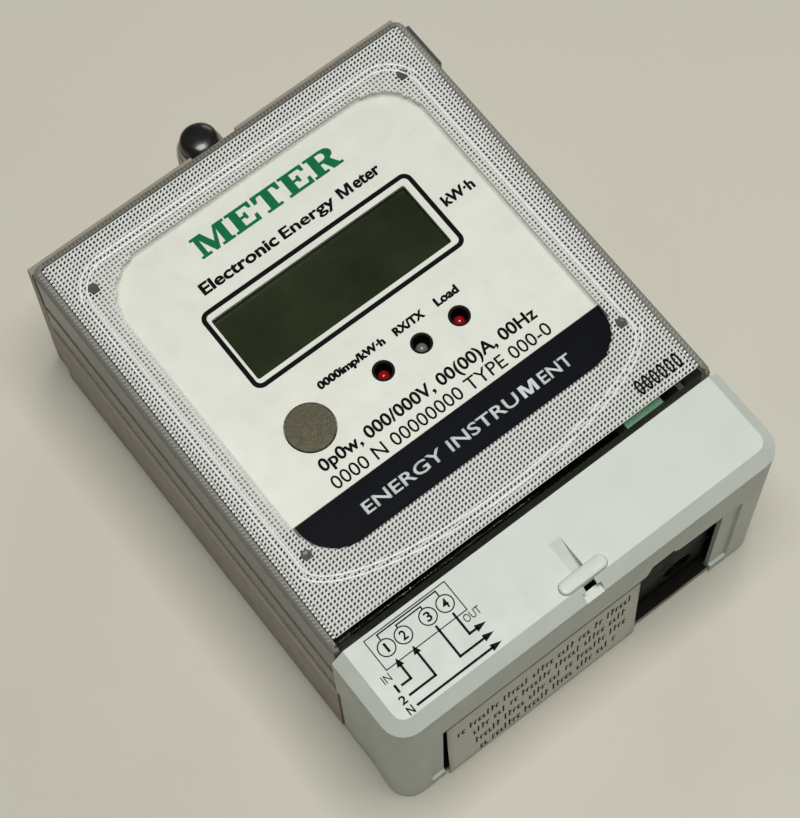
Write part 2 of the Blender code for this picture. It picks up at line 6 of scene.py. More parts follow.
import bmesh
import bpy
from mathutils import Euler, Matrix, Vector

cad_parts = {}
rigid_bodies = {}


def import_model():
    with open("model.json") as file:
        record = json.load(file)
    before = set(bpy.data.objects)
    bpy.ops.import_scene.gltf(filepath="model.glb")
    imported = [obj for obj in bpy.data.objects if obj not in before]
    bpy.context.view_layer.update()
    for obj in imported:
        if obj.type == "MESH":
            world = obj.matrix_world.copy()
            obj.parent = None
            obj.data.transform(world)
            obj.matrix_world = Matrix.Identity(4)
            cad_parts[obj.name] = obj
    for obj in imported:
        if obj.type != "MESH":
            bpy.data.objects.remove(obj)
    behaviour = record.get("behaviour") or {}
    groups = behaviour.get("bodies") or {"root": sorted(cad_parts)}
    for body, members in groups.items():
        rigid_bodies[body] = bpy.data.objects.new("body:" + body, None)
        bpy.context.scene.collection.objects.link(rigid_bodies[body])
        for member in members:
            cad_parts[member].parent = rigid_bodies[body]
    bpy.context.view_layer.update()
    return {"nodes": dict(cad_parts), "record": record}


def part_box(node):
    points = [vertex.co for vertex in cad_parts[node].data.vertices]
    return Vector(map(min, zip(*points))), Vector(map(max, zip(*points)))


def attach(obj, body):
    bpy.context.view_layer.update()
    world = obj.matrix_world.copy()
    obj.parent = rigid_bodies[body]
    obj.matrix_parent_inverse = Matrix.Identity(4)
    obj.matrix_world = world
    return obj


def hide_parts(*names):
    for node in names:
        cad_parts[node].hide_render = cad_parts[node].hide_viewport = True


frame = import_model()
NODES = frame["nodes"]
MM = 0.001

# --- Driving places, in millimetres in the CAD frame ---
COVER_LOW, COVER_HIGH = (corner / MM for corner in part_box("clear_cover"))
PLATE_LOW, PLATE_HIGH = (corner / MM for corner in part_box("nameplate"))
CARD_LOW, CARD_HIGH = (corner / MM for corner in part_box("wiring_card"))
FACE_Z = COVER_HIGH.z
PLATE_Z = PLATE_HIGH.z
STEP_Z = 46.4
# Height under which the base's chamber floor gets painted shade.
PAINTED_SHADE_FLOOR_Z = 12.0

WINDOW = (-44.2, 44.4, -30.9, 58.6)
WINDOW_TOP_R = 13.0
WINDOW_LOW_R = (10.5, 11.0)
KNURL = (-52.0, 52.0, -45.4, 68.5)
KNURL_PITCH = 1.06
KNURL_HEIGHT = 0.24
KNURL_FLOOR = 0.07
SLANTED_PIT = (0.51, 0.34)
EVEN_PIT = (0.42, 0.40)
EVEN_PIT_REACH = 5.2
DIMPLE_CLEARANCE = 1.2
DIAGONAL = 0.7071
BEAD_X = 52.45
BAND_TOP = -18.4

INK = 0.04
PRINT_GAP = 0.01
LENS_DEPTH = 2.6
SEAL_CAP_HEIGHT = 5.7

CAMERA_PLACE = (-0.11962, -0.17472, 0.57809)
CAMERA_TURNS = (21.0794, 1.2918, -37.7246)
CAMERA_ANGLE = 18.9256
GREEN_INK = (0.006, 0.145, 0.06)
BLACK_INK = (0.004, 0.004, 0.005)


# --- Finishes ---
class Finish:
    """A node material with grain, colour variation, uneven gloss and worn edges."""

    def __init__(self, name, colour, roughness, metallic=0.0, **sockets):
        self.material = bpy.data.materials.new(name)
        self.material.use_nodes = True
        self.tree = self.material.node_tree
        self.shader = self.tree.nodes["Principled BSDF"]
        self.colour = colour
        self.shader.inputs["Base Color"].default_value = (*colour, 1.0)
        self.shader.inputs["Roughness"].default_value = roughness
        self.shader.inputs["Metallic"].default_value = metallic
        for socket, value in sockets.items():
            self.shader.inputs[socket.replace("_", " ")].default_value = value
        self.place = self.add("ShaderNodeTexCoord").outputs["Object"]
        self.normal = None

    def add(self, kind, links=(), **settings):
        """Adds a node, links its inputs from (input, output) pairs and sets its properties."""
        node = self.tree.nodes.new(kind)
        for key, value in settings.items():
            setattr(node, key, value)
        for socket, output in links:
            if isinstance(output, bpy.types.NodeSocket):
                self.tree.links.new(output, node.inputs[socket])
            else:
                node.inputs[socket].default_value = output
        return node

    def noise(self, scale, detail=3.0, stretch=None):
        """Noise with so many waves to the metre, stretched along the axes if asked."""
        place = self.place
        if stretch:
            links = (("Vector", place), ("Scale", stretch))
            place = self.add("ShaderNodeMapping", links).outputs["Vector"]
        links = (("Vector", place), ("Scale", scale), ("Detail", detail))
        return self.add("ShaderNodeTexNoise", links).outputs["Fac"]

    def spread(self, value, low, high, start=0.3, end=0.7):
        """Maps the middle of a noise's range onto low to high."""
        links = (
            ("Value", value), ("From Min", start), ("From Max", end), ("To Min", low), ("To Max", high),
        )
        return self.add("ShaderNodeMapRange", links).outputs["Result"]

    def blend(self, factor, first, second):
        """Colour between two colours or colour outputs."""
        node = self.add("ShaderNodeMix", (), data_type="RGBA")
        for index, value in ((0, factor), (6, first), (7, second)):
            if isinstance(value, bpy.types.NodeSocket):
                self.tree.links.new(value, node.inputs[index])
            elif index:
                node.inputs[index].default_value = (*value, 1.0)
            else:
                node.inputs[index].default_value = value
        return node.outputs[2]

    def base(self):
        """The colour output that reaches the shader, or the plain colour."""
        links = self.shader.inputs["Base Color"].links
        return links[0].from_socket if links else self.colour

    def paint(self, output):
        self.tree.links.new(output, self.shader.inputs["Base Color"])
        return self

    def mottled(self, scale, amount):
        """Light and dark patches a few per cent apart."""
        dark = tuple(channel * (1.0 - amount) for channel in self.colour)
        light = tuple(min(1.0, channel * (1.0 + amount)) for channel in self.colour)
        return self.paint(self.blend(self.spread(self.noise(scale), 0.0, 1.0), dark, light))

    def uneven(self, scale, low, high, stretch=None):
        """Roughness that wanders between low and high."""
        value = self.spread(self.noise(scale, 4.0, stretch), low, high)
        self.tree.links.new(value, self.shader.inputs["Roughness"])
        return self

    def grained(self, scale, depth, detail=2.0, stretch=None):
        """Bump of a depth in millimetres."""
        links = [("Height", self.noise(scale, detail, stretch)), ("Distance", depth * MM), ("Strength", 1.0)]
        if self.normal:
            links.append(("Normal", self.normal))
        self.normal = self.add("ShaderNodeBump", links).outputs["Normal"]
        self.tree.links.new(self.normal, self.shader.inputs["Normal"])
        return self

    def worn(self, colour, radius, amount):
        """Edges and corners rubbed to another colour, broken up by noise."""
        soft = self.add("ShaderNodeBevel", (("Radius", radius * MM),), samples=4).outputs["Normal"]
        hard = self.add("ShaderNodeNewGeometry").outputs["Normal"]
        facing = self.add("ShaderNodeVectorMath", ((0, soft), (1, hard)), operation="DOT_PRODUCT")
        edge = self.spread(facing.outputs["Value"], amount, 0.0, 0.86, 0.995)
        broken = self.spread(self.noise(420.0, 5.0), 0.0, 1.0, 0.35, 0.65)
        factor = self.add("ShaderNodeMath", ((0, edge), (1, broken)), operation="MULTIPLY").outputs["Value"]
        return self.paint(self.blend(factor, self.base(), colour))


GRAZING_GLOSS = 0.7


def see_through(name, tint, gloss, haze=0.0, haze_colour=(0.8, 0.8, 0.78), rough=0.05):
    """Clear moulding, partly hazy, that reflects a share called gloss head-on and more at an angle."""
    finish = Finish(name, haze_colour, rough)
    tree = finish.tree
    clear = finish.add("ShaderNodeBsdfTransparent", (("Color", (*tint, 1.0)),)).outputs["BSDF"]
    if haze:
        cloud = finish.add("ShaderNodeBsdfDiffuse")
        darker = tuple(channel * 0.94 for channel in haze_colour)
        patch = finish.blend(finish.spread(finish.noise(300.0), 0.0, 1.0), haze_colour, darker)
        tree.links.new(patch, cloud.inputs["Color"])
        layers = ((0, haze), (1, clear), (2, cloud.outputs["BSDF"]))
        clear = finish.add("ShaderNodeMixShader", layers).outputs["Shader"]
    mirror = finish.add("ShaderNodeBsdfGlossy")
    tree.links.new(finish.spread(finish.noise(600.0), rough * 0.6, rough * 1.5), mirror.inputs["Roughness"])
    facing = finish.add("ShaderNodeLayerWeight", (("Blend", 0.5),)).outputs["Facing"]
    steep = finish.add("ShaderNodeMath", ((0, facing), (1, 5.0)), operation="POWER").outputs["Value"]
    links = (("Value", steep), ("To Min", gloss), ("To Max", GRAZING_GLOSS))
    share = finish.add("ShaderNodeMapRange", links).outputs["Result"]
    mix = finish.add("ShaderNodeMixShader", ((0, share), (1, clear), (2, mirror.outputs["BSDF"])))
    tree.links.new(mix.outputs["Shader"], tree.nodes["Material Output"].inputs["Surface"])
    tree.nodes.remove(finish.shader)
    return finish.material


def make_finishes():
    """One finish for each slot of the record, and for each print and moulded detail."""
    made = {}

    def plastic(slot, colour, rough, depth=0.012, scale=2600.0, wear=None, **sockets):
        finish = Finish(slot, colour, rough, **sockets).mottled(120.0, 0.025).grained(scale, depth)
        finish.uneven(240.0, rough - 0.08, rough + 0.1)
        if wear:
            finish.worn(wear, 0.5, 0.55)
        made[slot] = finish.material

    def metal(slot, colour, rough, stretch=(1.0, 1.0, 12.0), wear=None):
        finish = Finish(slot, colour, rough, 1.0).mottled(160.0, 0.12).grained(1500.0, 0.006, 3.0, stretch)
        finish.uneven(500.0, rough - 0.1, rough + 0.16, stretch)
        if wear:
            finish.worn(wear, 0.3, 0.6)
        made[slot] = finish.material

    plastic("taupe_plastic", (0.30, 0.265, 0.205), 0.5, 0.02, 2200.0, (0.42, 0.385, 0.31))
    plastic("pale_plastic", (0.54, 0.585, 0.53), 0.46, 0.014, 2400.0, (0.64, 0.68, 0.63))
    plastic("white_plate", (0.72, 0.73, 0.655), 0.34, 0.003, 900.0)
    plastic("white_plastic", (0.72, 0.73, 0.69), 0.5)
    plastic(
        "black_plastic", (0.005, 0.0045, 0.003), 0.55, 0.015, 2400.0, (0.014, 0.013, 0.01),
        Specular_IOR_Level=0.08,
    )
    plastic("black_rubber", (0.012, 0.012, 0.012), 0.26, 0.05, 420.0, (0.05, 0.05, 0.05))
    plastic("circuit_board", (0.02, 0.16, 0.07), 0.36, 0.01, 900.0)
    plastic("green_plastic", (0.085, 0.235, 0.125), 0.36, 0.01, 1800.0, (0.2, 0.4, 0.25))
    plastic("chip_resin", (0.02, 0.02, 0.025), 0.5, 0.012, 3200.0)
    plastic("blue_resin", (0.03, 0.09, 0.30), 0.3, 0.02, 900.0)
    plastic("grey_lens", (0.16, 0.15, 0.15), 0.2, 0.002)
    plastic("red_lens", (0.30, 0.006, 0.012), 0.18, 0.002)
    plastic("card_paper", (0.70, 0.68, 0.62), 0.85, 0.02, 1500.0, (0.78, 0.76, 0.71))
    metal("brass", (0.62, 0.45, 0.18), 0.34, wear=(0.8, 0.66, 0.36))
    metal("copper", (0.72, 0.38, 0.22), 0.32, (1.0, 14.0, 1.0))
    metal("zinc_steel", (0.50, 0.50, 0.48), 0.36, wear=(0.74, 0.74, 0.7))

    probe = Finish("probe_steel", (0.095, 0.084, 0.052), 0.6, 0.2, Specular_IOR_Level=0.25)
    probe.mottled(2600.0, 0.35).grained(3400.0, 0.02).uneven(900.0, 0.45, 0.68)
    made["probe_steel"] = probe.material
    glass = Finish("display_glass", (0.022, 0.030, 0.014), 0.16, 0.0, Specular_IOR_Level=0.3)
    glass.mottled(45.0, 0.3).uneven(260.0, 0.08, 0.2).grained(300.0, 0.002)
    made["display_glass"] = glass.material

    made["clear_plastic"] = see_through("clear_plastic", (0.985, 0.99, 0.985), 0.004)
    hazy = (
        ("cover_side", (0.80, 0.82, 0.80), 0.02, 0.86, (0.225, 0.225, 0.195), 0.16),
        ("cover_skirt", (0.7, 0.7, 0.66), 0.02, 0.9, (0.225, 0.205, 0.155), 0.2),
        ("cover_knurl", (0.90, 0.91, 0.90), 0.02, 0.95, (0.74, 0.76, 0.72), 0.16),
        ("cover_ridge", (0.97, 0.98, 0.97), 0.03, 0.85, (0.90, 0.91, 0.88), 0.1),
        ("cover_tick", (0.80, 0.81, 0.80), 0.02, 0.9, (0.40, 0.405, 0.38), 0.16),
        ("cover_rim", (0.6, 0.6, 0.57), 0.02, 0.93, (0.14, 0.14, 0.122), 0.2),
        ("cover_dimple", (0.5, 0.5, 0.48), 0.02, 0.8, (0.10, 0.10, 0.09), 0.2),
    )
    for name, *look in hazy:
        made[name] = see_through(name, *look)

    def ink(slot, colour, rough=0.5):
        finish = Finish(slot, colour, rough, Specular_IOR_Level=0.05).mottled(900.0, 0.06)
        made[slot] = finish.uneven(300.0, rough - 0.1, rough + 0.1).material

    ink("black_ink", BLACK_INK)
    ink("green_ink", GREEN_INK)
    ink("white_ink", (0.62, 0.64, 0.66))
    # The next two inks are painted shade for the nameplate under the knurl.
    ink("grey_ink", (0.145, 0.145, 0.128))
    ink("pale_grey_ink", (0.42, 0.42, 0.38))
    ink("band_ink", (0.003, 0.0035, 0.006), 0.45)
    ink("screw_shade", (0.07, 0.07, 0.065))
    ink("card_ink", (0.03, 0.03, 0.028), 0.7)
    return made


FINISH = make_finishes()


# --- Pieces ---
def add_piece(name, mesh, finish, body, replaces=()):
    """Links a mesh as a piece that rides on a body."""
    mesh.name = name
    piece = bpy.data.objects.new(name, mesh)
    bpy.context.scene.collection.objects.link(piece)
    mesh.materials.clear()
    for each in [finish] if isinstance(finish, str) else finish:
        mesh.materials.append(FINISH[each])
    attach(piece, body)
    if replaces:
        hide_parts(*replaces)
    return piece


def body_of_node(node):
    return NODES[node].parent.name.removeprefix("body:")


def softened(node, finish, width, segments=2, angle=32.0):
    """A copy of a CAD node with flat faces joined up and its edges rounded, in the node's place."""
    mesh = NODES[node].data.copy()
    work = bmesh.new()
    work.from_mesh(mesh)
    bmesh.ops.remove_doubles(work, verts=work.verts, dist=0.004 * MM)
    bmesh.ops.dissolve_limit(work, angle_limit=math.radians(1.5), verts=work.verts, edges=work.edges)
    work.to_mesh(mesh)
    work.free()
    mesh.polygons.foreach_set("use_smooth", [True] * len(mesh.polygons))
    mesh.set_sharp_from_angle(angle=math.radians(angle))
    piece = add_piece(node + "_soft", mesh, finish, body_of_node(node), (node,))
    bevel = piece.modifiers.new("edges", "BEVEL")
    bevel.width = width * MM
    bevel.segments = segments
    bevel.limit_method = "ANGLE"
    bevel.angle_limit = math.radians(angle)
    bevel.miter_outer = "MITER_ARC"
    flat = piece.modifiers.new("flat_faces", "WEIGHTED_NORMAL")
    flat.keep_sharp = True
    return piece


def turned(name, profile, centre, finish, body, replaces=(), steps=48, wobble=0.0):
    """A round piece from a profile of (radius, z), with its axis upright."""
    work = bmesh.new()
    rings = []
    for radius, height in profile:
        ring = []
        for step in range(steps):
            turn = math.tau * step / steps
            reach = radius * (1.0 + wobble * math.sin(3.0 * turn + height))
            spot = (centre[0] + reach * math.cos(turn), centre[1] + reach * math.sin(turn), height)
            ring.append(work.verts.new(Vector(spot) * MM))
        rings.append(ring)
    for low, high in zip(rings, rings[1:]):
        for step in range(steps):
            after = (step + 1) % steps
            work.faces.new((low[step], high[step], high[after], low[after]))
    work.faces.new(list(reversed(rings[-1])))
    work.faces.new(rings[0])
    bmesh.ops.recalc_face_normals(work, faces=work.faces)
    mesh = bpy.data.meshes.new(name)
    work.to_mesh(mesh)
    work.free()
    mesh.polygons.foreach_set("use_smooth", [True] * len(mesh.polygons))
    mesh.set_sharp_from_angle(angle=math.radians(40.0))
    return add_piece(name, mesh, finish, body, replaces)


# --- Print ---
def mesh_of_curve(curve):
    """The mesh that a curve or text makes; the curve itself is removed."""
    carrier = bpy.data.objects.new("carrier", curve)
    bpy.context.scene.collection.objects.link(carrier)
    view = bpy.context.evaluated_depsgraph_get()
    mesh = bpy.data.meshes.new_from_object(carrier.evaluated_get(view))
    bpy.data.objects.remove(carrier)
    bpy.data.curves.remove(curve)
    return mesh


SLAB_E = (
    (0, 0), (1, 0), (1, 0.34), (0.88, 0.34), (0.84, 0.13), (0.42, 0.13), (0.42, 0.45), (0.56, 0.45),
    (0.58, 0.36), (0.68, 0.36), (0.68, 0.66), (0.58, 0.66), (0.56, 0.57), (0.42, 0.57), (0.42, 0.87),
    (0.80, 0.87), (0.85, 0.70), (0.96, 0.70), (0.96, 1), (0, 1), (0, 0.88), (0.12, 0.88), (0.12, 0.12),
    (0, 0.12),
)
SLAB_T = (
    (0.20, 0), (0.80, 0), (0.80, 0.12), (0.65, 0.12), (0.65, 0.87), (0.82, 0.87), (0.88, 0.64),
    (1, 0.64), (1, 1), (0, 1), (0, 0.64), (0.12, 0.64), (0.18, 0.87), (0.35, 0.87), (0.35, 0.12),
    (0.20, 0.12),
)
SLAB_M = (
    (0, 0), (0.30, 0), (0.30, 0.12), (0.21, 0.12), (0.21, 0.76), (0.42, 0), (0.53, 0), (0.72, 0.76),
    (0.72, 0.12), (0.63, 0.12), (0.63, 0), (1, 0), (1, 0.12), (0.93, 0.12), (0.93, 0.88), (1, 0.88),
    (1, 1), (0.69, 1), (0.51, 0.38), (0.33, 1), (0, 1), (0, 0.88), (0.08, 0.88), (0.08, 0.12),
    (0, 0.12),
)
SLAB_R = (
    (0, 0), (0.50, 0), (0.50, 0.12), (0.38, 0.12), (0.38, 0.43), (0.48, 0.43), (0.64, 0), (1, 0),
    (1, 0.12), (0.90, 0.12), (0.74, 0.47), (0.87, 0.59), (0.91, 0.73), (0.87, 0.87), (0.76, 0.97),
    (0.60, 1), (0, 1), (0, 0.88), (0.11, 0.88), (0.11, 0.12), (0, 0.12),
)
SLAB_R_EYE = (
    (0.38, 0.56), (0.38, 0.88), (0.54, 0.88), (0.62, 0.84), (0.65, 0.72), (0.62, 0.60), (0.54, 0.56),
)
PLAIN_M = (
    (0, 0), (0.20, 0), (0.20, 0.66), (0.39, 0), (0.61, 0), (0.80, 0.66), (0.80, 0), (1, 0), (1, 1),
    (0.71, 1), (0.50, 0.32), (0.29, 1), (0, 1),
)


class Print:
    """Flat shapes in one ink on one flat surface, made into one thin piece."""

    def __init__(self, name, finish, body, z, slot):
        self.name, self.finish, self.body, self.z, self.slot = name, finish, body, z, slot
        self.work = bmesh.new()

    def shape(self, points):
        """A filled outline."""
        corners = [self.work.verts.new(Vector((x, y, self.z)) * MM) for x, y in points]
        self.work.faces.new(corners)

    def band(self, outer, inner):
        """The strip between two outlines with as many points as each other."""
        rings = []
        for line in (outer, inner):
            rings.append([self.work.verts.new(Vector((x, y, self.z)) * MM) for x, y in line])
        for index in range(len(outer)):
            after = (index + 1) % len(outer)
            self.work.faces.new((rings[0][index], rings[0][after], rings[1][after], rings[1][index]))

    def line(self, points, width):
        """Straight strokes through points, each as long as its ends plus half the width."""
        for (x0, y0), (x1, y1) in zip(points, points[1:]):
            length = math.hypot(x1 - x0, y1 - y0)
            ux, uy = (x1 - x0) / length * width / 2, (y1 - y0) / length * width / 2
            self.shape(
                (
                    (x0 - ux + uy, y0 - uy - ux), (x1 + ux + uy, y1 + uy - ux),
                    (x1 + ux - uy, y1 + uy + ux), (x0 - ux - uy, y0 - uy + ux),
                )
            )

    def filled(self, loops):
        """The area inside the first outline and outside the others, which lie in it."""
        curve = bpy.data.curves.new("area", "CURVE")
        curve.dimensions = "2D"
        curve.fill_mode = "BOTH"
        for loop in loops:
            spline = curve.splines.new("POLY")
            spline.points.add(len(loop) - 1)
            spline.use_cyclic_u = True
            for point, (x, y) in zip(spline.points, loop):
                point.co = (x * MM, y * MM, 0.0, 1.0)
        mesh = mesh_of_curve(curve)
        for vertex in mesh.vertices:
            vertex.co.z = self.z * MM
        self.work.from_mesh(mesh)
        bpy.data.meshes.remove(mesh)

    def glyph(self, loops, low, high):
        """A letter of the builder's own from outlines in a unit square, fitted between two corners."""
        wide, tall = high[0] - low[0], high[1] - low[1]
        self.filled([[(low[0] + x * wide, low[1] + y * tall) for x, y in loop] for loop in loops])

    def bold(self, text, low, high, weight=0.0, spread=0.18):
        """Letters drawn twice, a little apart, one a hair above the other."""
        rise = spread / 2
        self.letters(text, low, (high[0] - spread, high[1] - rise), weight)
        self.z += 0.004
        self.letters(text, (low[0] + spread, low[1] + rise), high, weight)
        self.z -= 0.004

    def letters(self, text, low, high, weight=0.0):
        """Plain letters in Blender's own font, fitted between two corners."""
        curve = bpy.data.curves.new("letters", "FONT")
        curve.body = text
        curve.offset = weight
        curve.resolution_u = 3
        mesh = mesh_of_curve(curve)
        xs = [vertex.co.x for vertex in mesh.vertices]
        ys = [vertex.co.y for vertex in mesh.vertices]
        for vertex in mesh.vertices:
            x = low[0] + (high[0] - low[0]) * (vertex.co.x - min(xs)) / (max(xs) - min(xs))
            y = low[1] + (high[1] - low[1]) * (vertex.co.y - min(ys)) / (max(ys) - min(ys))
            vertex.co = Vector((x, y, self.z)) * MM
        self.work.from_mesh(mesh)
        bpy.data.meshes.remove(mesh)

    def done(self):
        mesh = bpy.data.meshes.new(self.name)
        bmesh.ops.recalc_face_normals(self.work, faces=self.work.faces)
        for face in self.work.faces:
            if face.normal.z < 0.0:
                face.normal_flip()
        self.work.to_mesh(mesh)
        self.work.free()
        piece = add_piece(self.name, mesh, self.finish, self.body)
        thick = piece.modifiers.new("ink", "SOLIDIFY")
        thick.thickness = INK * MM
        thick.offset = 1.0
        return piece


def corner_arc(centre, radii, start, sweep, steps):
    """Points on a quarter of an ellipse."""
    turns = (math.radians(start + sweep * step / steps) for step in range(steps + 1))
    return [(centre[0] + radii[0] * math.cos(turn), centre[1] + radii[1] * math.sin(turn)) for turn in turns]


def rounded(x0, x1, y0, y1, top, low=None, steps=10):
    """Outline of a rectangle with round top corners and round or elliptical lower ones."""
    low = low or (top, top)
    return (
        corner_arc((x1 - top, y1 - top), (top, top), 0, 90, steps)
        + corner_arc((x0 + top, y1 - top), (top, top), 90, 90, steps)
        + corner_arc((x0 + low[0], y0 + low[1]), low, 180, 90, steps)
        + corner_arc((x1 - low[0], y0 + low[1]), low, 270, 90, steps)
    )


def disc(centre, radius, steps=32):
    return corner_arc(centre, (radius, radius), 0, 360 * (steps - 1) / steps, steps - 1)


def print_plate():
    """Title, ratings, display outline, labels and the dark band on the nameplate."""
    top = PLATE_Z + PRINT_GAP
    green = Print("plate_title", "green_ink", "meter", top, "white_plate")
    title = (
        ((SLAB_M,), 9.8), ((SLAB_E,), 7.2), ((SLAB_T,), 7.6), ((SLAB_E,), 7.2), ((SLAB_R, SLAB_R_EYE), 8.3),
    )
    x = -20.6
    for loops, wide in title:
        green.glyph(loops, (x, 48.3), (x + wide, 54.4))
        x += wide + 0.45
    green.done()

    black = Print("plate_print", "black_ink", "meter", top, "white_plate")
    black.bold("Electronic", (-25.8, 40.4), (-3.7, 43.7), 0.02)
    black.bold("Energy", (-2.4, 39.5), (13.1, 43.5), 0.014)
    black.glyph((PLAIN_M,), (14.6, 40.45), (18.4, 43.45))
    black.bold("eter", (19.0, 40.4), (26.7, 43.2), 0.02)
    black.bold("kW·h", (33.0, 23.4), (42.0, 26.4), 0.02)
    black.bold("0000imp/kW·h", (-18.8, 3.9), (0.4, 6.7), 0.03)
    black.bold("RX/TX", (3.2, 4.3), (11.9, 6.6), 0.03)
    black.bold("Load", (15.4, 4.3), (22.0, 6.7), 0.03)
    black.bold("0p0w, 000/000V, 00(00)A, 00Hz", (-30.4, -13.1), (32.4, -8.7), 0.014, 0.12)
    black.letters("0000 N 00000000 TYPE 000-0", (-30.6, -17.3), (32.7, -13.8), 0.004)
    black.band(rounded(-30.4, 31.4, 13.2, 37.2, 2.4), rounded(-29.2, 30.2, 14.4, 36.0, 1.3))
    black.done()

    band = Print("plate_band", "band_ink", "meter", top, "white_plate")
    outline = corner_arc((-43.6 + 10.5, -19.4), (10.5, 11.0), 180, 90, 10)
    outline += corner_arc((45.0 - 10.5, -19.4), (10.5, 11.0), 270, 90, 10)
    band.shape(outline + [(45.0, BAND_TOP), (-43.6, BAND_TOP)])
    band.done()
    light = Print("plate_band_print", "white_ink", "meter", top + INK + PRINT_GAP, "white_plate")
    light.letters("ENERGY INSTRU", (-28.6, -26.3), (15.9, -23.1), 0.014)
    light.glyph((PLAIN_M,), (17.0, -26.3), (21.4, -23.1))
    light.letters("ENT", (22.6, -26.3), (31.6, -23.1), 0.014)
    light.done()

    over_knurl = FACE_Z + KNURL_HEIGHT + PRINT_GAP
    code = Print("cover_code", "black_ink", "meter", over_knurl, "clear_plastic")
    for index in range(6):
        code.letters("0", (37.8 + 2.2 * index, -43.2), (39.5 + 2.2 * index, -39.0), 0.02)
    code.done()


def frame_loop(inset, steps=16):
    """The moulded frame line: round upper corners and a wide curved lower edge."""
    left, right, top, shoulder, dip = -50.0 + inset, 48.9 - inset, 63.4 - inset, -28.0, -42.6 + inset
    radius = 10.0 - inset
    middle = (left + right) / 2
    half = (right - left) / 2
    lower = corner_arc((middle, shoulder), (half, shoulder - dip), 180, 180, steps * 3)
    upper = corner_arc((right - radius, top - radius), (radius, radius), 0, 90, steps)
    upper += corner_arc((left + radius, top - radius), (radius, radius), 90, 90, steps)
    return upper + lower


def print_painted_border_shade():
    """Painted shade on the nameplate under the knurled part of the cover: darker fields that stand in for the
    shade seen between and under the knurl.
    """
    margin = 0.3
    x_ends = (PLATE_LOW.x + margin, PLATE_HIGH.x - margin)
    y_ends = (PLATE_LOW.y + margin, PLATE_HIGH.y - margin)
    edge = rounded(*x_ends, *y_ends, 1.0, steps=3)
    # Painted shade: a dark grey field outside the frame line and under the band.
    dark = Print("plate_border_print", "grey_ink", "meter", PLATE_Z + 0.005, "white_plate")
    inside = frame_loop(1.0)
    dark.filled((edge, inside))
    under_band = [(x, y) for x, y in inside if y < BAND_TOP]
    right, left = max(x for x, y in under_band), min(x for x, y in under_band)
    dark.filled((under_band + [(right, BAND_TOP), (left, BAND_TOP)],))
    dark.done()
    x0, x1, y0, y1 = WINDOW
    window = rounded(x0 - 1.6, x1 + 1.6, y0, y1 + 1.6, WINDOW_TOP_R, WINDOW_LOW_R)
    above_band = [(x, max(y, BAND_TOP + 0.05)) for x, y in frame_loop(1.05)]
    # Painted shade: a pale grey field between the frame line and the window.
    pale = Print("plate_inner_border_print", "pale_grey_ink", "meter", PLATE_Z + 0.005, "white_plate")
    pale.filled((above_band, [(x, max(y, BAND_TOP + 0.1)) for x, y in window]))
    pale.done()


def print_hood():
    """Wiring diagram on the flat top of the terminal cover."""
    ink = Print("hood_diagram", "black_ink", "terminal_cover", FACE_Z + PRINT_GAP, "pale_plastic")
    outside = rounded(-47.9, -25.1, -58.2, -49.7, 0.05, steps=1)
    inside = rounded(-47.65, -25.35, -57.95, -49.95, 0.05, steps=1)
    ink.band(outside, inside)
    poles = (-44.6, -39.9, -33.0, -28.2)
    for index, x in enumerate(poles):
        ink.band(disc((x, -54.0), 2.2), disc((x, -54.0), 1.9))
        half = 0.3 if index == 0 else 0.75
        ink.letters(str(index + 1), (x - half, -55.2), (x + half, -52.8), 0.02)
    ink.line(((poles[0], -51.6), (poles[0], -50.4), (poles[3], -50.4), (poles[3], -51.6)), 0.35)
    ink.line(((poles[1], -51.8), (poles[1], -51.2), (poles[2], -51.2), (poles[2], -51.8)), 0.35)
    for x, y in ((poles[0], -62.8), (poles[1], -65.6)):
        ink.line(((-47.0, y), (x, y), (x, -59.0)), 0.58)
        ink.shape(((x - 0.95, -59.2), (x + 0.95, -59.2), (x, -57.1)))
    for x, y in ((poles[3], -62.8), (poles[2], -65.6)):
        ink.line(((x, -57.0), (x, y), (-26.0, y)), 0.58)
        ink.shape(((-26.4, y - 0.9), (-23.6, y), (-26.4, y + 0.9)))
    ink.line(((-47.0, -68.4), (-26.0, -68.4)), 0.58)
    ink.shape(((-26.4, -69.3), (-23.6, -68.4), (-26.4, -67.5)))
    ink.letters("IN", (-50.0, -60.6), (-47.9, -58.6), 0.0)
    ink.letters("OUT", (-27.2, -60.6), (-22.8, -58.6), 0.0)
    for label, y in (("1", -62.8), ("2", -65.6), ("N", -68.4)):
        ink.letters(label, (-48.2 - (0.6 if label == "1" else 1.6), y - 1.05), (-48.2, y + 1.05), 0.02)
    ink.done()


# --- Transparent cover ---
def window_gap(x, y):
    """Distance from the edge of the cover's smooth window, negative inside it."""
    x0, x1, y0, y1 = WINDOW
    radius = WINDOW_TOP_R if y > 0.0 else max(WINDOW_LOW_R)
    over_x = max(x0 + radius - x, x - (x1 - radius))
    over_y = max(y0 + radius - y, y - (y1 - radius))
    return math.hypot(max(over_x, 0.0), max(over_y, 0.0)) + min(max(over_x, over_y), 0.0) - radius


def off_window(x, y):
    """The point, or the nearest one on the window's edge if it lies inside the window."""
    gap, step = window_gap(x, y), 0.01
    if gap >= 0.0:
        return x, y
    slope_x = (window_gap(x + step, y) - gap) / step
    slope_y = (window_gap(x, y + step) - gap) / step
    return x - gap * slope_x, y - gap * slope_y


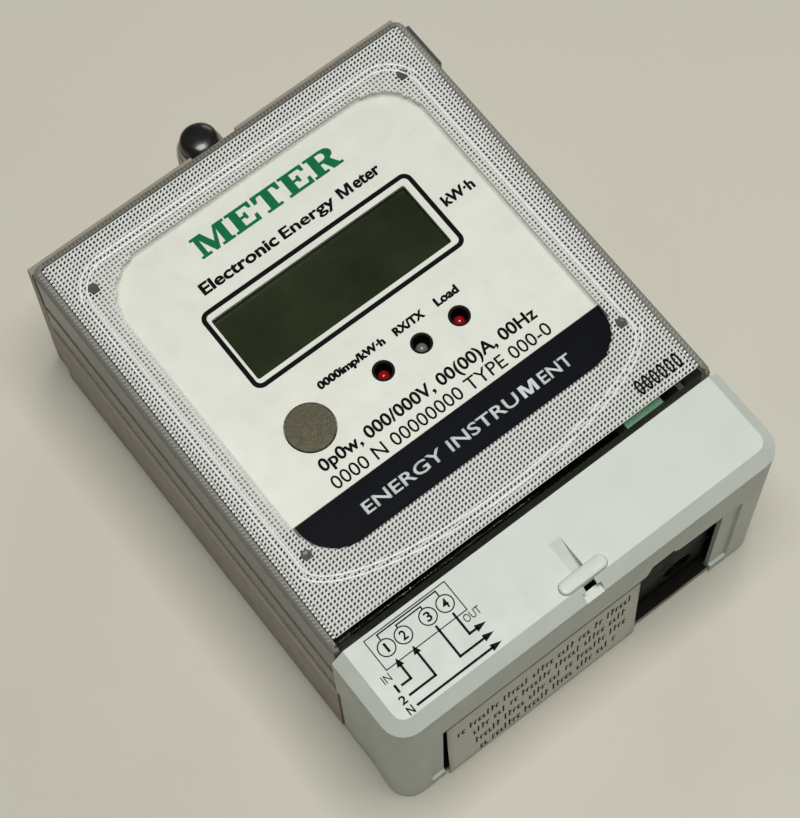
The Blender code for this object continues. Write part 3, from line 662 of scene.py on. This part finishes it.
def knurled_net():
    """Net of low ridges round small pits over the top of the cover, outside its window."""
    x0, x1, y0, y1 = KNURL
    columns, rows = round((x1 - x0) / KNURL_PITCH), round((y1 - y0) / KNURL_PITCH)
    wide, tall = (x1 - x0) / columns, (y1 - y0) / rows
    dimples = [centre_of("nameplate_screw_%d" % index) for index in (1, 2, 3, 4)]
    points, faces, knots = [], [], {}

    def knot(column, row):
        if (column, row) not in knots:
            knots[column, row] = len(points)
            spot = off_window(x0 + column * wide, y0 + row * tall)
            points.append(Vector((*spot, FACE_Z + KNURL_HEIGHT)) * MM)
        return knots[column, row]

    for row in range(rows):
        for column in range(columns):
            x, y = x0 + (column + 0.5) * wide, y0 + (row + 0.5) * tall
            gap = window_gap(x, y)
            if gap < 0.0 or any(math.hypot(x - a, y - b) < DIMPLE_CLEARANCE for a, b in dimples):
                continue
            long, short = SLANTED_PIT if gap > EVEN_PIT_REACH or y < BAND_TOP else EVEN_PIT
            corners = [knot(column + a, row + b) for a, b in ((0, 0), (1, 0), (1, 1), (0, 1))]
            first = len(points)
            for a, b, reach in ((-1, -1, long), (1, -1, short), (1, 1, long), (-1, 1, short)):
                spot = off_window(x + a * reach * DIAGONAL, y + b * reach * DIAGONAL)
                points.append(Vector((*spot, FACE_Z + KNURL_FLOOR)) * MM)
            for side in range(4):
                after = (side + 1) % 4
                faces.append((corners[side], corners[after], first + after, first + side))
    mesh = bpy.data.meshes.new("cover_knurl")
    mesh.from_pydata(points, [], faces)
    net = add_piece("cover_knurl", mesh, "cover_knurl", "meter")
    thick = net.modifiers.new("thickness", "SOLIDIFY")
    thick.thickness = 0.06 * MM
    thick.offset = -1.0
    for index, (x, y) in enumerate(dimples):
        profile = ((1.3, FACE_Z + 0.01), (1.3, FACE_Z + 0.3), (1.0, FACE_Z + 0.33), (0.5, FACE_Z + 0.2))
        name = "cover_dimple_%d" % (index + 1)
        turned(name, profile, (x, y), "cover_dimple", "meter", (), 24)


def centre_of(node):
    low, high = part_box(node)
    return (low.x + high.x) / 2 / MM, (low.y + high.y) / 2 / MM


def rim_beads():
    """A row of beads and one of short ticks along each side of the cover's top edge, and bars at its rear."""

    def block(work, corner, along, rise, half):
        """A small bar from a corner along one way, with its ends at two heights."""
        side = Vector((-along.y, along.x, 0.0)).normalized() * half
        lift = Vector((0.0, 0.0, rise))
        low = [corner - side, corner + side, corner + along + side, corner + along - side]
        high = [low[0] * 0.75 + low[1] * 0.25 + lift, low[1] * 0.75 + low[0] * 0.25 + lift]
        high += [low[2] * 0.75 + low[3] * 0.25 + lift, low[3] * 0.75 + low[2] * 0.25 + lift]
        ring = [[work.verts.new(spot * MM) for spot in line] for line in (low, high)]
        for index in range(4):
            after = (index + 1) % 4
            work.faces.new((ring[0][index], ring[0][after], ring[1][after], ring[1][index]))
        work.faces.new(ring[1])
        work.faces.new(list(reversed(ring[0])))

    def finished(work, name, finish):
        bmesh.ops.recalc_face_normals(work, faces=work.faces)
        mesh = bpy.data.meshes.new(name)
        work.to_mesh(mesh)
        work.free()
        add_piece(name, mesh, finish, "meter")

    x0, x1, y0, y1 = KNURL
    beads, ticks, bars = bmesh.new(), bmesh.new(), bmesh.new()
    rows = round((y1 - y0) / KNURL_PITCH)
    for row in range(rows):
        y = y0 + (row + 0.5) * (y1 - y0) / rows
        for side in (-1.0, 1.0):
            bead = Vector((side * (BEAD_X - 0.34), y - 0.1, FACE_Z - 0.05))
            block(beads, bead, Vector((side * 0.68, 0.2, 0.0)), 0.36, 0.34)
            tick = Vector((side * (BEAD_X + 0.75), y - 0.3, FACE_Z - 0.08))
            block(ticks, tick, Vector((side * 0.85, 0.55, -0.3)), 0.24, 0.22)
    finished(beads, "cover_beads", "cover_ridge")
    finished(ticks, "cover_ticks", "cover_tick")

    columns = round((x1 - x0) / KNURL_PITCH)
    for column in range(columns):
        x = x0 + (column + 0.5) * (x1 - x0) / columns
        block(bars, Vector((x, y1 + 0.1, FACE_Z - 0.06)), Vector((0.25, 1.5, -0.4)), 0.28, 0.3)
    finished(bars, "cover_rear_bars", "cover_rim")


def rod(name, loops, radius, z, finish, body):
    """Closed round mouldings along loops of points at one height."""
    curve = bpy.data.curves.new(name, "CURVE")
    curve.dimensions = "3D"
    curve.fill_mode = "FULL"
    curve.bevel_depth = radius * MM
    curve.bevel_resolution = 2
    for loop in loops:
        spline = curve.splines.new("POLY")
        spline.points.add(len(loop) - 1)
        spline.use_cyclic_u = True
        for point, (x, y) in zip(spline.points, loop):
            point.co = (x * MM, y * MM, z * MM, 1.0)
    mesh = mesh_of_curve(curve)
    mesh.polygons.foreach_set("use_smooth", [True] * len(mesh.polygons))
    return add_piece(name, mesh, finish, body)


def dress_cover():
    """Softened clear cover: clear top and front strip, frosted walls, knurling, beads and frame lines."""
    finishes = ("clear_plastic", "cover_side", "cover_skirt")
    shell = softened("clear_cover", finishes, 0.35, 2)
    crown_z, front_y = STEP_Z + 5.0, COVER_LOW.y + 12.0
    for face in shell.data.polygons:
        middle = face.center / MM
        if abs(face.normal.z) > 0.97 and middle.z > crown_z:
            face.material_index = 0
        elif middle.y < front_y and abs(face.normal.x) < 0.2 and middle.z > crown_z:
            face.material_index = 0
        elif middle.z > STEP_Z + 0.5:
            face.material_index = 1
        else:
            face.material_index = 2
    knurled_net()
    rim_beads()
    lines, height = (frame_loop(0.0), frame_loop(1.6)), FACE_Z + 0.12
    rod("cover_frame_lines", lines, 0.27, height, "cover_ridge", "meter")


# --- Card ---
def card_surface(u, v):
    """Point on the card's front: u across and v up, both 0 to 1, with a slight bow."""
    x = CARD_LOW.x + u * (CARD_HIGH.x - CARD_LOW.x)
    z = CARD_LOW.z + v * (CARD_HIGH.z - CARD_LOW.z)
    lean = CARD_LOW.y + 0.06 + (CARD_HIGH.y - CARD_LOW.y - 0.5) * v
    bow = 0.25 * math.sin(math.pi * v) * (0.6 + 0.4 * math.cos(math.pi * u))
    return Vector((x, lean + bow, z)) * MM


def dress_card():
    """Card as a thin bowed sheet with rows of greeked print."""
    across, up = 24, 18
    work = bmesh.new()
    grid = []
    for row in range(up + 1):
        line = [card_surface(column / across, row / up) for column in range(across + 1)]
        grid.append([work.verts.new(spot) for spot in line])
    for low, high in zip(grid, grid[1:]):
        for index in range(across):
            work.faces.new((low[index], low[index + 1], high[index + 1], high[index]))
    mesh = bpy.data.meshes.new("card")
    work.to_mesh(mesh)
    work.free()
    mesh.polygons.foreach_set("use_smooth", [True] * len(mesh.polygons))
    card = add_piece("card_sheet", mesh, "card_paper", "meter", ("wiring_card",))
    thick = card.modifiers.new("paper", "SOLIDIFY")
    thick.thickness = 0.22 * MM
    thick.offset = -1.0

    work = bmesh.new()

    def bar(low_u, high_u, low_v, high_v):
        spots = ((low_u, low_v), (high_u, low_v), (high_u, high_v), (low_u, high_v))
        corners = [card_surface(u, v) + Vector((0.0, -0.03, 0.0)) * MM for u, v in spots]
        work.faces.new([work.verts.new(corner) for corner in corners])

    stroke, pitch = 0.0085, 0.0225
    rows = (
        (0.05, 0.98, 0.66, 0.80), (0.13, 0.95, 0.45, 0.60),
        (0.14, 0.96, 0.23, 0.39), (0.16, 0.90, 0.03, 0.17),
    )
    for row, (start, end, low_v, high_v) in enumerate(rows):
        u, word = start, row
        while u < end - pitch:
            for letter in range(2 + (word * 5 + row * 3) % 6):
                if u > end - pitch:
                    break
                foot = low_v + (high_v - low_v) * (u - start) / (end - start)
                kind = (letter * 7 + word * 3 + row) % 5
                bar(u, u + stroke, foot, foot + (0.125 if kind in (1, 3) else 0.085))
                if kind in (0, 2, 3):
                    bar(u + stroke * 1.1, u + pitch * 0.75, foot + 0.065, foot + 0.085)
                if kind in (2, 4):
                    bar(u + stroke * 1.1, u + pitch * 0.75, foot, foot + 0.02)
                u += pitch
            u += pitch * 0.8
            word += 1
    mesh = bpy.data.meshes.new("card_print")
    work.to_mesh(mesh)
    work.free()
    ink = add_piece("card_print", mesh, "card_ink", "meter")
    thick = ink.modifiers.new("ink", "SOLIDIFY")
    thick.thickness = INK * MM


# --- Dressing the CAD nodes ---
def dress_nodes():
    """Each CAD node takes the finish of its slot; the ones that show most get rounded edges.

    The floor of the base in front of the split takes the black finish as painted shade, standing in for the
    shade in the opening, where no taupe shows.
    """
    for part in frame["record"]["subparts"]:
        node = NODES[part["node"]]
        for index in range(max(1, len(node.material_slots))):
            if node.material_slots:
                node.material_slots[index].material = FINISH[part["material_slot"]]
            else:
                node.data.materials.append(FINISH[part["material_slot"]])
    slots = {part["node"]: part["material_slot"] for part in frame["record"]["subparts"]}
    rounded_nodes = {
        "terminal_cover": 0.35, "base": 0.3, "nameplate": 0.12, "terminal_block": 0.25, "cover_gasket": 0.15,
        "pulse_output_terminal": 0.2, "hanger_plate": 0.15, "seal_tongue": 0.15, "cover_switch": 0.25,
        "display_holder": 0.2, "panel_frame": 0.2,
    }
    for node, width in rounded_nodes.items():
        # The base's second slot, black, is painted shade for the floor of the terminal chamber.
        finish = (slots[node], "black_plastic") if node == "base" else slots[node]
        piece = softened(node, finish, width, 2)
        if node == "base":
            for face in piece.data.polygons:
                middle = face.center / MM
                # Painted shade: upward faces of the chamber floor, in front of the cover and low down, turn
                # black.
                painted_shade_face = middle.y < COVER_LOW.y - 1.0 and middle.z < PAINTED_SHADE_FLOOR_Z
                if painted_shade_face and face.normal.z > 0.5:
                    face.material_index = 1
    for index in (1, 2, 3, 4):
        NODES["nameplate_screw_%d" % index].material_slots[0].material = FINISH["screw_shade"]


def dress_round_parts():
    """Smooth turned disc in place of the faceted probe disc."""
    low, high = (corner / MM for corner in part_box("optical_probe_disc"))
    centre = ((low.x + high.x) / 2, (low.y + high.y) / 2)
    radius = (high.x - low.x) / 2
    rim = (
        (radius - 0.05, low.z), (radius, low.z + 0.1),
        (radius, high.z - 0.16), (radius - 0.14, high.z - 0.02), (radius - 0.4, high.z),
    )
    turned("probe_disc", rim, centre, "probe_steel", "meter", ("optical_probe_disc",), 72)


def tube(name, centre, inner, outer, low, high, finish, steps=40):
    """An upright tube, closed at its two ends by flat rings."""
    profile = ((inner, low), (inner, high), (outer, high), (outer, low))
    work = bmesh.new()
    rings = []
    for step in range(steps):
        turn = math.tau * step / steps
        reach = Vector((math.cos(turn), math.sin(turn), 0.0))
        spots = (Vector((*centre, height)) + reach * radius for radius, height in profile)
        rings.append([work.verts.new(spot * MM) for spot in spots])
    for index, ring in enumerate(rings):
        after = rings[(index + 1) % steps]
        for corner in range(4):
            other = (corner + 1) % 4
            work.faces.new((ring[corner], ring[other], after[other], after[corner]))
    bmesh.ops.recalc_face_normals(work, faces=work.faces)
    mesh = bpy.data.meshes.new(name)
    work.to_mesh(mesh)
    work.free()
    mesh.polygons.foreach_set("use_smooth", [True] * len(mesh.polygons))
    mesh.set_sharp_from_angle(angle=math.radians(40.0))
    return add_piece(name, mesh, finish, "meter")


def dress_indicators():
    """Domed lenses set deep in black sleeves under the nameplate's holes."""
    lenses = (
        ("pulse_indicator", "red_lens"),
        ("optical_port_indicator", "grey_lens"),
        ("load_indicator", "red_lens"),
    )
    for node, slot in lenses:
        low, high = (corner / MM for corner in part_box(node))
        centre = ((low.x + high.x) / 2, (low.y + high.y) / 2)
        crown = high.z - LENS_DEPTH
        flange = ((2.4, low.z), (2.4, low.z + 0.8), (1.5, low.z + 0.8))
        dome = corner_arc((0.0, crown), (1.5, 1.5), 0, 84, 8)
        turned(node + "_lens", flange + tuple(dome), centre, slot, "meter", (node,), 32)
        foot, top = low.z + 3.0, PLATE_Z - 0.15
        tube(node + "_sleeve", centre, 2.12, 2.6, foot, top, "black_plastic")


def dress_seal_screw():
    """Smooth, slightly lumpy black cap on the sealing screw, with its shank."""
    low, high = (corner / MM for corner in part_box("cover_seal_screw"))
    centre = ((low.x + high.x) / 2, (low.y + high.y) / 2)
    foot = high.z - SEAL_CAP_HEIGHT
    shank = ((0.8, low.z), (1.4, low.z + 0.8), (1.4, foot))
    wall = ((4.5, foot), (4.95, foot + 0.7), (4.95, foot + 3.2))
    crown = ((4.75, foot + 4.0), (4.2, foot + 4.7), (3.2, foot + 5.2), (1.8, foot + 5.5), (0.5, foot + 5.6))
    profile = shank + wall + crown
    node = "cover_seal_screw"
    turned("seal_cap", profile, centre, "black_rubber", node, (node,), 56, 0.012)


# --- Stage ---
def build_stage():
    """Pale floor, soft lights and the camera."""
    mesh = bpy.data.meshes.new("floor")
    reach = 3.0
    corners = [(-reach, -reach, 0), (reach, -reach, 0), (reach, reach, 0), (-reach, reach, 0)]
    mesh.from_pydata(corners, [], [(0, 1, 2, 3)])
    floor = bpy.data.objects.new("floor", mesh)
    bpy.context.scene.collection.objects.link(floor)
    pale = Finish("floor", (0.56, 0.54, 0.46), 0.7).mottled(6.0, 0.01).uneven(20.0, 0.6, 0.8)
    mesh.materials.append(pale.material)

    def area(name, spot, aim, size, power, colour, shine=1.0):
        light = bpy.data.lights.new(name, "AREA")
        light.shape = "RECTANGLE"
        light.size, light.size_y = size
        light.energy = power
        light.color = colour
        light.specular_factor = shine
        lamp = bpy.data.objects.new(name, light)
        lamp.location = spot
        way = Vector(aim) - Vector(spot)
        lamp.rotation_euler = way.to_track_quat("-Z", "Y").to_euler()
        bpy.context.scene.collection.objects.link(lamp)

    middle = (0.0, 0.0, 0.03)
    area("overhead", (0.0, -0.1, 1.25), middle, (0.55, 0.5), 14.5, (1.0, 0.995, 0.98))
    area("rear_right", (0.85, 0.75, 0.4), middle, (0.5, 0.4), 2.0, (1.0, 0.99, 0.97), 0.35)
    area("front_fill", (-0.7, -1.0, 0.45), middle, (0.7, 0.5), 0.12, (1.0, 0.88, 0.72))

    world = bpy.data.worlds.new("studio")
    world.use_nodes = True
    sky = world.node_tree.nodes["Background"]
    sky.inputs["Color"].default_value = (1.0, 0.995, 0.98, 1.0)
    sky.inputs["Strength"].default_value = 0.036
    bpy.context.scene.world = world

    data = bpy.data.cameras.new("camera")
    data.sensor_fit = "HORIZONTAL"
    data.angle = math.radians(CAMERA_ANGLE)
    camera = bpy.data.objects.new("camera", data)
    camera.location = CAMERA_PLACE
    camera.rotation_euler = Euler([math.radians(turn) for turn in CAMERA_TURNS])
    bpy.context.scene.collection.objects.link(camera)
    bpy.context.scene.camera = camera
    bpy.context.scene.view_settings.view_transform = "Standard"


dress_nodes()
dress_round_parts()
dress_indicators()
dress_seal_screw()
dress_cover()
print_plate()
print_painted_border_shade()
print_hood()
dress_card()
build_stage()
